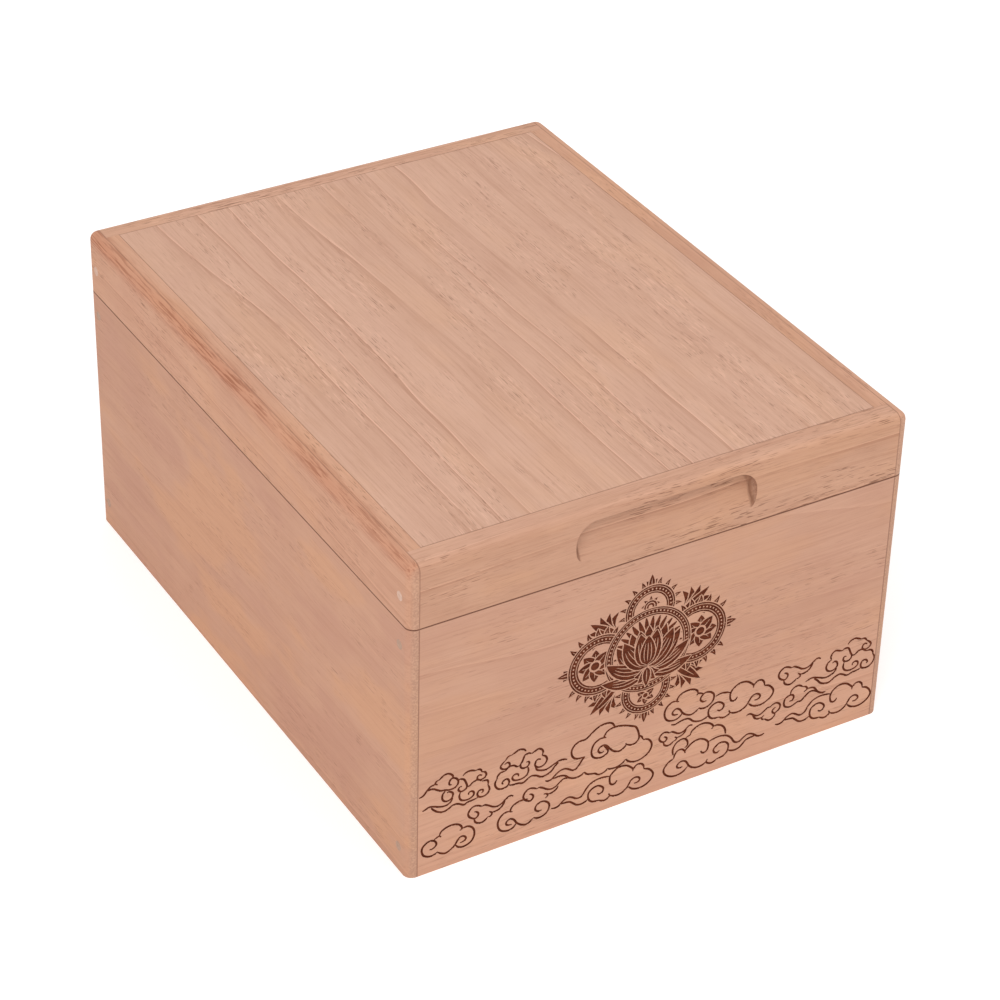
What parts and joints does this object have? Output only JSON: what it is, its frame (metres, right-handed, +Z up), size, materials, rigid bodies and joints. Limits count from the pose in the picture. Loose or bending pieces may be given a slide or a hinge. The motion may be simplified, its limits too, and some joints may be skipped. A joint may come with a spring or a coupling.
{
  "type": "cigar humidor",
  "caption": "Cedar cigar humidor box with a hinged flush lid, coved finger scoop, cedar lining, sliding divider, humidifier and hygrometer.",
  "frame": {"origin": "centre of the underside, on the surface that the box stands on", "axes": "+Z up; the front with the finger scoop faces -Y, the hinges are at +Y; +X to the right of someone facing the front"},
  "size_m": [0.22, 0.2848, 0.145],
  "materials": {
    "cedar_boards": "matt oiled cedar",
    "cedar_top": "matt oiled cedar, paler",
    "cedar_bottom": "matt cedar",
    "cedar_lining": "bare cedar",
    "filler": "wood filler",
    "steel": "plain",
    "brass": "satin",
    "bronze": "spring strip",
    "magnet": "nickel plate",
    "black_plastic": "matt black",
    "foam": "open foam",
    "dial": "matt cream",
    "glass": "clear",
    "needle": "matt black"
  },
  "bodies": {
    "box": {"front_board": "cedar_boards", "back_board": "cedar_boards", "left_side_board": "cedar_boards", "right_side_board": "cedar_boards", "bottom_panel": "cedar_bottom", "front_liner": "cedar_lining", "right_liner": "cedar_lining", "back_liner": "cedar_lining", "left_liner": "cedar_lining", "box_brads": "steel", "box_filler_plugs": "filler", "left_hinge_box_leaf": "brass", "right_hinge_box_leaf": "brass", "left_hinge_pin": "brass", "right_hinge_pin": "brass", "box_hinge_screws": "brass"},
    "lid": {"lid_front_rail": "cedar_boards", "lid_back_rail": "cedar_boards", "lid_left_rail": "cedar_boards", "lid_right_rail": "cedar_boards", "lid_top_panel": "cedar_top", "lid_brads": "steel", "lid_filler_plugs": "filler", "left_hinge_lid_leaf": "brass", "right_hinge_lid_leaf": "brass", "lid_hinge_screws": "brass", "humidifier_case": "black_plastic", "humidifier_cover": "black_plastic", "humidifier_foam": "foam", "humidifier_magnets": "magnet", "humidifier_steel_discs": "steel", "hygrometer_case": "brass", "hygrometer_bezel": "brass", "hygrometer_glass": "glass", "hygrometer_spacer": "dial", "hygrometer_dial": "dial", "hygrometer_coil": "bronze", "hygrometer_magnet": "magnet", "hygrometer_steel_disc": "steel"},
    "divider": {"divider": "cedar_lining"},
    "needle": {"hygrometer_needle": "needle", "hygrometer_arbor": "brass"}
  },
  "joints": [
    {"name": "lid_hinge", "type": "hinge", "parent": "box", "child": "lid", "pos_m": [0, 0.1421, 0.117], "axis": [-1, 0, 0], "range_deg": [0, 95]},
    {"name": "divider_slide", "type": "slide", "parent": "box", "child": "divider", "axis": [0, 1, 0], "range_m": [-0.162, 0.082]},
    {"name": "needle_turn", "type": "hinge", "parent": "lid", "child": "needle", "pos_m": [0, -0.078, 0.131], "axis": [0, 0, 1], "range_deg": [-189, 81], "stiffness_Nm_per_rad": 0.00001}
  ]
}
